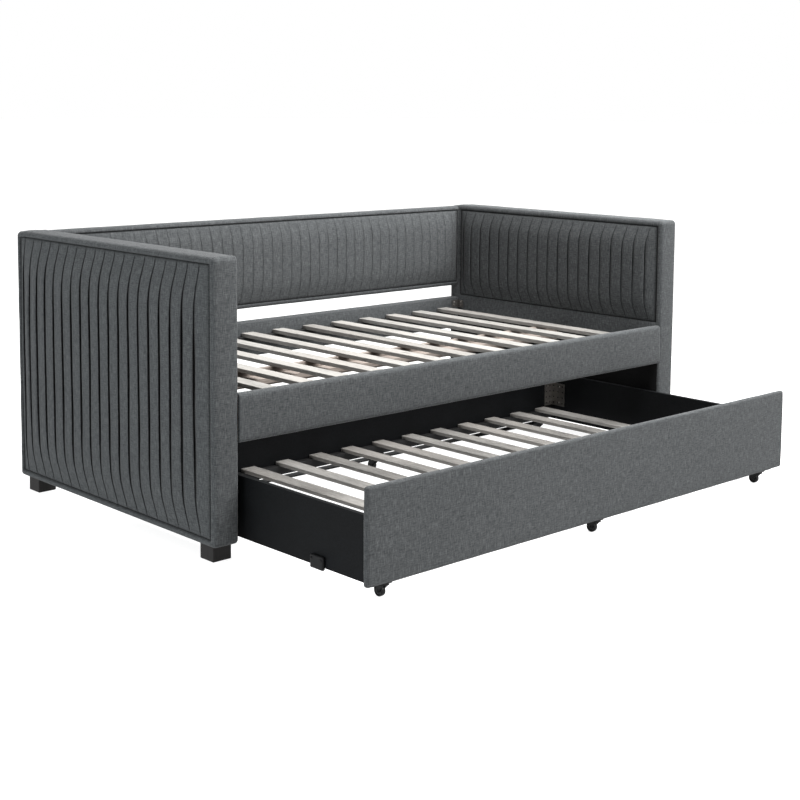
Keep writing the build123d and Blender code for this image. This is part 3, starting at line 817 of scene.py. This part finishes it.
class NodeTree:
    # a geometry tree with named inputs; add() works as it does for a material
    def __init__(self, name, inputs):
        self.tree = bpy.data.node_groups.new(name, "GeometryNodeTree")
        face = self.tree.interface
        face.new_socket("Geometry", in_out="INPUT", socket_type="NodeSocketGeometry")
        for label, kind, value in inputs:
            socket = face.new_socket(label, in_out="INPUT", socket_type="NodeSocket" + kind)
            if value is not None:
                socket.default_value = value
        face.new_socket("Geometry", in_out="OUTPUT", socket_type="NodeSocketGeometry")
        self.start = self.tree.nodes.new("NodeGroupInput")
        self.end = self.tree.nodes.new("NodeGroupOutput")

    def given(self, label):
        return self.start.outputs[label]

    def add(self, kind, settings=None, inputs=None, output=0):
        node = self.tree.nodes.new(kind)
        for key, value in (settings or {}).items():
            setattr(node, key, value)
        for key, value in (inputs or {}).items():
            if isinstance(value, bpy.types.NodeSocket):
                self.tree.links.new(value, node.inputs[key])
            else:
                node.inputs[key].default_value = value
        return node.outputs[output]

    def finishWith(self, instances, material):
        real = self.add("GeometryNodeRealizeInstances", {}, {"Geometry": instances})
        painted = self.add("GeometryNodeSetMaterial", {}, {"Geometry": real, "Material": material})
        self.tree.links.new(painted, self.end.inputs["Geometry"])

    def runOn(self, piece, values):
        modifier = piece.modifiers.new(self.tree.name, "NODES")
        modifier.node_group = self.tree
        for socket in self.tree.interface.items_tree:
            if socket.in_out == "INPUT" and socket.name in values:
                modifier[socket.identifier] = values[socket.name]
        bake(piece)


def islands(node):
    # the separate solids in a CAD node, as lists of points
    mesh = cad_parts[node].data
    spots = [tuple(round(c, 6) for c in v.co) for v in mesh.vertices]
    parent = {s: s for s in spots}

    def root(s):
        while parent[s] != s:
            parent[s] = parent[parent[s]]
            s = parent[s]
        return s

    for polygon in mesh.polygons:
        first = root(spots[polygon.vertices[0]])
        for index in polygon.vertices[1:]:
            parent[root(spots[index])] = first
    groups = {}
    for s in parent:
        groups.setdefault(root(s), []).append(s)
    return sorted((np.array(g) for g in groups.values()), key=lambda g: tuple(g.min(0).round(4)))


# slats

slatTree = NodeTree("slatRow", [
    ("First", "Vector", None), ("Count", "Int", 13), ("Pitch", "Float", 0.146),
    ("Turn", "Float", 0.002), ("Seed", "Int", 4), ("Finish", "Material", None),
])
given = slatTree.given
slatLine = slatTree.add("GeometryNodeMeshLine", {"mode": "OFFSET"}, {
    "Count": given("Count"), "Start Location": given("First"),
    "Offset": slatTree.add("ShaderNodeCombineXYZ", {}, {0: given("Pitch")}),
})
slatTurn = slatTree.add("FunctionNodeRandomValue", {"data_type": "FLOAT"}, {
    2: slatTree.add("ShaderNodeMath", {"operation": "MULTIPLY"}, {0: given("Turn"), 1: -1.0}),
    3: given("Turn"), "Seed": given("Seed"),
}, output=1)
slatPlaced = slatTree.add("GeometryNodeInstanceOnPoints", {}, {
    "Points": slatLine, "Instance": given("Geometry"),
    "Rotation": slatTree.add("ShaderNodeCombineXYZ", {}, {1: slatTurn, 2: slatTurn}),
})
slatShade = slatTree.add("FunctionNodeRandomValue", {"data_type": "FLOAT"},
                         {2: 0.0, 3: 1.0, "Seed": given("Seed")}, output=1)
slatMarked = slatTree.add("GeometryNodeStoreNamedAttribute", {"data_type": "FLOAT", "domain": "INSTANCE"},
                          {"Geometry": slatPlaced, "Name": "slatShade", "Value": slatShade})
slatTree.finishWith(slatMarked, given("Finish"))

slat = {"ease": 2.0 * mm, "endEase": 0.8 * mm, "bow": 0.7 * mm, "turn": 0.0016, "pieces": 14}


def slatRow(name, node, body, seed):
    found = islands(node)
    low, high = found[0].min(0), found[0].max(0)
    width, length, thick = high - low
    pitch = (found[-1].min(0)[0] - low[0]) / (len(found) - 1)
    # one slat about its own middle: a section with eased edges, carried along its length
    half, depth, r = width / 2, thick / 2, slat["ease"]
    section = []
    for cx, cz, start in ((half - r, depth - r, 0), (-half + r, depth - r, 90),
                          (-half + r, -depth + r, 180), (half - r, -depth + r, 270)):
        for a in (0, 30, 60, 90):
            angle = math.radians(start + a)
            section.append((cx + r * math.cos(angle), cz + r * math.sin(angle)))
    e = slat["endEase"]
    stations = [(-length / 2, e), (-length / 2 + e, 0)]
    stations += [(-length / 2 + length * i / slat["pieces"], 0) for i in range(1, slat["pieces"])]
    stations += [(length / 2 - e, 0), (length / 2, e)]
    points, faces = [], []
    n = len(section)
    for y, drawn in stations:
        bow = slat["bow"] * ((2 * y / length) ** 2 - 1) * -0.5
        for x, z in section:
            points.append((x * (1 - drawn / half), y, z * (1 - drawn / depth) + bow - slat["bow"] * 0.5))
    for s in range(len(stations) - 1):
        for i in range(n):
            m = (i + 1) % n
            faces.append((s * n + i, s * n + m, (s + 1) * n + m, (s + 1) * n + i))
    faces.append(list(range(n))[::-1])
    faces.append([(len(stations) - 1) * n + i for i in range(n)])
    piece = newPiece(name, points, faces, smooth=False)
    slatTree.runOn(piece, {
        "First": tuple((low + high) / 2), "Count": len(found), "Pitch": float(pitch), "Turn": slat["turn"],
        "Seed": seed, "Finish": finishes["slat_wood"],
    })
    dress(piece, body, "slat_wood", node)


slatRow("deckSlats", "deck_slats", "daybed", 11)
slatRow("trundleSlats", "trundle_slats", "trundle", 23)
print("slats laid")


# screws

def lathe(profile, segments):
    # (radius, height) rings about Z; a radius of 0 closes the end
    points, rings, faces = [], [], []
    for radius, height in profile:
        if radius < 1e-7:
            rings.append([len(points)])
            points.append((0, 0, height))
        else:
            rings.append(list(range(len(points), len(points) + segments)))
            points += [(x, y, height) for x, y in circle(radius, segments)]
    for a, b in zip(rings, rings[1:]):
        for i in range(segments):
            j = (i + 1) % segments
            if len(a) == 1 and len(b) > 1:
                faces.append((a[0], b[j], b[i]))
            elif len(b) == 1 and len(a) > 1:
                faces.append((a[i], a[j], b[0]))
            elif len(a) > 1:
                faces.append((a[i], a[j], b[j], b[i]))
    return points, faces


screwTree = NodeTree("screwHeads", [("Screw", "Object", None), ("Seed", "Int", 2), ("Finish", "Material", None)])
screwShape = screwTree.add("GeometryNodeObjectInfo", {}, {"Object": screwTree.given("Screw")}, output=4)
screwAim = screwTree.add("FunctionNodeAlignRotationToVector", {"axis": "Z"}, {
    "Vector": screwTree.add("GeometryNodeInputNamedAttribute", {"data_type": "FLOAT_VECTOR"}, {"Name": "outward"}),
})
screwSpin = screwTree.add("FunctionNodeRotateRotation", {"rotation_space": "LOCAL"}, {
    "Rotation": screwAim,
    "Rotate By": screwTree.add("ShaderNodeCombineXYZ", {}, {
        2: screwTree.add("FunctionNodeRandomValue", {"data_type": "FLOAT"},
                         {2: 0.0, 3: 6.28, "Seed": screwTree.given("Seed")}, output=1),
    }),
})
screwTree.finishWith(screwTree.add("GeometryNodeInstanceOnPoints", {}, {
    "Points": screwTree.given("Geometry"), "Instance": screwShape, "Rotation": screwSpin,
}), screwTree.given("Finish"))

screwHead = {"segments": 16, "cross": 0.62, "crossDeep": 1.1 * mm}


def screwSet(name, node, body, finish="zinc_steel", wanted=lambda middle: True):
    places, outward = [], []
    for points in islands(node):
        low, high = points.min(0), points.max(0)
        if not wanted((low + high) / 2):
            continue
        axis = int(np.argmax(high - low))
        others = [n for n in range(3) if n != axis]
        middle = (low + high) / 2
        far = np.hypot(*(points[:, others] - middle[others]).T)
        head = points[far > far.max() * 0.98][:, axis]
        way = 1 if head.mean() > middle[axis] else -1
        seat = head.min() if way > 0 else head.max()
        place = middle.copy()
        place[axis] = seat
        places.append(place)
        outward.append([way * float(n == axis) for n in range(3)])
        radius, length = far.max(), high[axis] - low[axis]
        height = abs((high if way > 0 else low)[axis] - seat)
    r, h = radius, height
    profile = [(0, -length + h), (0.25 * r, -length + h + 2 * mm), (0.46 * r, -length + h + 4 * mm), (0.46 * r, 0),
               (r, 0), (r, 0.22 * h), (0.86 * r, 0.62 * h), (0.66 * r, 0.88 * h)]
    points, faces = lathe(profile, screwHead["segments"])
    # the cross recess: a four-pointed ring, then its floor
    n, ring = screwHead["segments"], len(points) - screwHead["segments"]
    for drop, size in ((0.0, screwHead["cross"]), (screwHead["crossDeep"], screwHead["cross"] * 0.8)):
        new = len(points)
        for i in range(n):
            reach = (1.0, 0.34, 0.26, 0.34)[i % 4] * r * size
            points.append((reach * math.cos(2 * math.pi * i / n), reach * math.sin(2 * math.pi * i / n), h - drop))
        faces += [(ring + i, ring + (i + 1) % n, new + (i + 1) % n, new + i) for i in range(n)]
        ring = new
    faces.append([ring + i for i in range(n)])
    screw = newPiece("screwPattern", points, faces, smooth=False)
    piece = newPiece(name, places, [], smooth=False)
    writeAttribute(piece, "outward", "FLOAT_VECTOR", outward)
    screwTree.runOn(piece, {"Screw": screw, "Seed": 5, "Finish": finishes[finish]})
    bpy.data.objects.remove(screw)
    dress(piece, body, finish, node)


screwSet("deckScrews", "deck_screws", "daybed")
bumperSide = abs(cadBox("side_bumpers")[0][0]) - 14 * mm
screwSet("trundleScrews", "trundle_screws", "trundle", wanted=lambda at: abs(at[0]) < bumperSide)
screwSet("bumperScrews", "trundle_screws", "trundle", "black_steel", lambda at: abs(at[0]) >= bumperSide)
screwSet("casterBarScrews", "caster_bar_screws", "trundle")
print("screws driven")


# angle plates: two flanges with round holes

plate = {"thick": 2 * mm, "shown": 0.96, "around": 16}


def punchedPlates(name, node, body, columns, rows, hole):
    # one angle per island; the two flanges meet where the island has both of its planes
    around = plate["around"]
    points, index, faces = [], {}, []

    def spot(p):
        key = tuple(round(c, 6) for c in p)
        if key not in index:
            index[key] = len(points)
            points.append(key)
        return index[key]

    for island in islands(node):
        low, high = island.min(0), island.max(0)
        corners = [(x, y) for x in (low[0], high[0]) for y in (low[1], high[1])]
        empty = max(corners, key=lambda c: np.hypot(island[:, 0] - c[0], island[:, 1] - c[1]).min())
        bend = [low[n] + high[n] - empty[n] for n in range(2)]
        toward = [1.0 if empty[n] > bend[n] else -1.0 for n in range(2)]
        bend = [bend[n] + toward[n] * plate["thick"] / 2 for n in range(2)]
        for axis in range(2):
            reach = abs(empty[axis] - bend[axis])
            along = np.linspace(0, reach, columns[axis] + 1)
            up = np.linspace(low[2], high[2], rows + 1)

            def place(a, z):
                p = [bend[0], bend[1], z]
                p[axis] += toward[axis] * a
                return p

            turned = toward[0] * toward[1] * (1 if axis == 0 else -1) > 0
            for i in range(columns[axis]):
                for j in range(rows):
                    a0, a1, z0, z1 = along[i], along[i + 1], up[j], up[j + 1]
                    ca, cz = (a0 + a1) / 2, (z0 + z1) / 2
                    ring = [spot(place(ca + da, cz + dz)) for da, dz in circle(hole, around, 0.5)]
                    # the four corners, each with the quarter of the hole that faces it
                    quarters = [(a1, z1), (a0, z1), (a0, z0), (a1, z0)]
                    made = []
                    for q, (a, z) in enumerate(quarters):
                        corner = spot(place(a, z))
                        nextCorner = spot(place(*quarters[(q + 1) % 4]))
                        for k in range(3):
                            made.append([corner, ring[4 * q + k + 1], ring[4 * q + k]])
                        made.append([corner, nextCorner, ring[(4 * q + 4) % around], ring[4 * q + 3]])
                    faces += [f[::-1] for f in made] if turned else made
    piece = newPiece(name, points, faces, smooth=False)
    solid = piece.modifiers.new("thickness", "SOLIDIFY")
    solid.thickness = plate["thick"] * plate["shown"]
    solid.offset = 0
    bake(piece)
    dress(piece, body, "zinc_steel", node)


punchedPlates("trundleCornerPlates", "trundle_corner_plates", "trundle", (2, 3), 4, 3.4 * mm)
punchedPlates("deckBrackets", "deck_brackets", "daybed", (2, 2), 2, 2.6 * mm)
print("angle plates punched")


# bumpers, linings and caster wheels

bumper = {"round": 5.0 * mm, "shorter": 6.0 * mm, "lower": 7.0 * mm}
for side, found in zip(("left", "right"), islands("side_bumpers")):
    smaller = [0, bumper["shorter"], bumper["lower"]]
    low, high = found.min(0) + smaller, found.max(0) - smaller
    lines = [edgeLines(low[n], high[n], bumper["round"], step=0.012) for n in range(3)]
    piece = softBlock(f"{side}Bumper", lines, bumper["round"], lambda p, out: np.zeros(3))
    dress(piece, "trundle", "black_plastic", "side_bumpers")

lining = {"wave": 0.5 * mm, "cell": 36 * mm, "thinner": 0.2 * mm}
for side in ("left", "right"):
    low, high = cadBox(f"{side}_arm_lining")
    lines = [[low[0] + lining["thinner"], high[0] - lining["thinner"]]]
    lines += [list(np.linspace(low[n], high[n], round((high[n] - low[n]) / lining["cell"]))) for n in (1, 2)]

    def slack(p, out, low=low, high=high):
        edge = min(p[1] - low[1], high[1] - p[1], p[2] - low[2], high[2] - p[2])
        return np.array([lining["wave"] * smoothStep(edge / 0.05) * ripple(p, 9, 3.0), 0, 0])

    piece = softBlock(f"{side}ArmLining", lines, 0.0, slack, flat=(0, 1, 2))
    dress(piece, "daybed", "black_lining", f"{side}_arm_lining")

casterWheel = {
    "segments": 48, "radius": 17, "width": 15,
    # radius and half width of each ring from the hub out, in millimetres
    "side": [(0, 5.9), (3.9, 5.9), (4.7, 5.2), (5.2, 4.2), (11.2, 4.2), (12.2, 5.2), (12.9, 6.9), (14.6, 7.4),
             (16.2, 6.5), (17.0, 4.6), (17.0, 1.4)],
}
casterSpots = [(row, column) for row in ("front", "rear") for column in ("left", "middle", "right")]
for row, column in casterSpots:
    low, high = cadBox(f"{row}_{column}_caster_wheel")
    centre = (low + high) / 2
    ratio = (high[2] - low[2]) / 2 / casterWheel["radius"]
    wide = (high[0] - low[0]) / casterWheel["width"]
    profile = [(r * ratio, -w * wide) for r, w in casterWheel["side"]]
    profile += [(r * ratio, w * wide) for r, w in reversed(casterWheel["side"])]
    points, faces = lathe(profile, casterWheel["segments"])
    points = [(centre[0] + z, centre[1] + x, centre[2] + y) for x, y, z in points]
    piece = newPiece(f"{row}{column.title()}Wheel", points, faces)
    dress(piece, f"{row}_{column}_wheel", "caster_plastic", f"{row}_{column}_caster_wheel")
print("bumpers, linings and wheels made")


# carried-over frame pieces take their finishes

kept = {
    "frame_board": ["left_arm_core", "right_arm_core", "back_core", "front_rail_board", "rear_rail_board",
                    "trundle_panel_board"],
    "foot_wood": ["front_left_foot", "front_right_foot", "back_left_foot", "back_right_foot"],
    "zinc_steel": ["foot_bolts", "back_bolts", "caster_king_pins"],
    "black_steel": ["front_caster_bar", "rear_caster_bar", "caster_plates"]
                   + [f"{row}_{column}_caster_fork" for row, column in casterSpots],
    "black_wood": ["caster_bar_spacers"],
}
for finish, nodes in kept.items():
    for node in nodes:
        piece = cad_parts[node]
        piece.data.materials.clear()
        piece.data.materials.append(finishes[finish])


# floor, light and camera

studio = {
    "floor": (0.25, 0.25, 0.25), "floorGlow": 0.88, "floorHalf": 80,
    "sky": 1.0,
    # place, aim, size, power and colour
    "overheadSoftbox": ((1.0, -0.75, 3.55), (0.1, 0, 0.3), (3.2, 2.6), 600, (1, 1, 1)),
    "frontSoftbox": ((1.25, -4.8, 2.2), (0.2, 0, 0.3), (2.6, 2.0), 185, (1, 1, 1)),
    "sideSoftbox": ((-3.7, 0.1, 0.46), (0, 0.2, 0.46), (2.4, 0.7), 66, (0.90, 0.97, 1.0)),
}
floorPaint = Paint("paleFloor")
grit = floorPaint.cloud(floorPaint.objectPlace(), 2.0, 2.0, 0.5)
floorFinish = floorPaint.surface({
    "Base Color": floorPaint.mix(grit, rgba(*(c * 0.98 for c in studio["floor"])), rgba(*studio["floor"])),
    "Roughness": 0.9, "Emission Color": rgba(1, 1, 1), "Emission Strength": studio["floorGlow"],
})
half = studio["floorHalf"]
floor = newPiece("floor", [(-half, -half, 0), (half, -half, 0), (half, half, 0), (-half, half, 0)], [(0, 1, 2, 3)],
                 smooth=False)
floor.data.materials.append(floorFinish)

world = bpy.data.worlds.new("studioWhite")
scene.world = world
world.use_nodes = True
world.node_tree.nodes["Background"].inputs["Color"].default_value = (1, 1, 1, 1)
world.node_tree.nodes["Background"].inputs["Strength"].default_value = studio["sky"]
scene.view_settings.view_transform = "Standard"

for name in ("overheadSoftbox", "frontSoftbox", "sideSoftbox"):
    place, aim, size, power, colour = studio[name]
    data = bpy.data.lights.new(name, "AREA")
    data.color = colour
    data.shape = "RECTANGLE"
    data.size, data.size_y = size
    data.energy = power
    lamp = bpy.data.objects.new(name, data)
    lamp.location = place
    lamp.rotation_euler = (Vector(aim) - Vector(place)).to_track_quat("-Z", "Y").to_euler()
    scene.collection.objects.link(lamp)

viewpoint = {
    "place": (-3.4015, -3.5626, 1.3110),
    "heading": 43.250, "tilt": -5.888, "roll": 0.490,
    "lens": 65.26, "sensor": 36, "shiftX": -0.0118, "shiftY": -0.1850, "far": 400,
}
cameraData = bpy.data.cameras.new("camera")
cameraData.lens = viewpoint["lens"]
cameraData.sensor_width = viewpoint["sensor"]
cameraData.shift_x, cameraData.shift_y = viewpoint["shiftX"], viewpoint["shiftY"]
cameraData.clip_end = viewpoint["far"]
camera = bpy.data.objects.new("camera", cameraData)
turn = Matrix.Rotation(-math.radians(viewpoint["heading"]), 4, "Z")
turn = turn @ Matrix.Rotation(math.radians(90 + viewpoint["tilt"]), 4, "X")
turn = turn @ Matrix.Rotation(math.radians(viewpoint["roll"]), 4, "Z")
camera.matrix_world = Matrix.Translation(viewpoint["place"]) @ turn
scene.collection.objects.link(camera)
scene.camera = camera

print("floor, light and camera placed")
